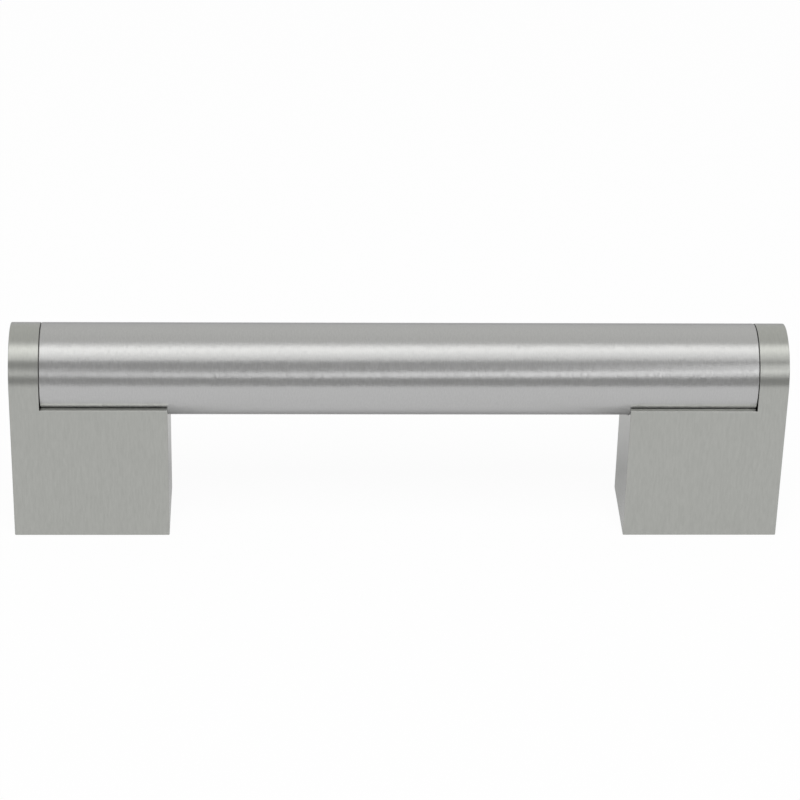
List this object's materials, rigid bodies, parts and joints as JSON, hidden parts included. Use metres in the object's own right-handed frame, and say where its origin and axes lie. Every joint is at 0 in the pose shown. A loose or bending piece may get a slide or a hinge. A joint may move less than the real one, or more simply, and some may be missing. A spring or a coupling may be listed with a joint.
{
  "type": "cabinet pull",
  "caption": "Bar pull: a round brushed steel tube held between block feet with full-round ends flush with the bar, screwed on from behind.",
  "frame": {"origin": "middle of the mounting plane, halfway between the two screw holes", "axes": "+X along the bar towards the right foot, +Y towards the side away from the viewer, +Z off the drawer front towards the bar"},
  "size_m": [0.1204, 0.0142, 0.0334],
  "materials": {
    "brushed_tube": "stainless steel, brushed round the tube",
    "satin_casting": "zinc die casting, satin nickel plate, brushed upright"
  },
  "bodies": {
    "root": {"bar_tube": "brushed_tube", "left_foot": "satin_casting", "right_foot": "satin_casting"}
  },
  "joints": []
}
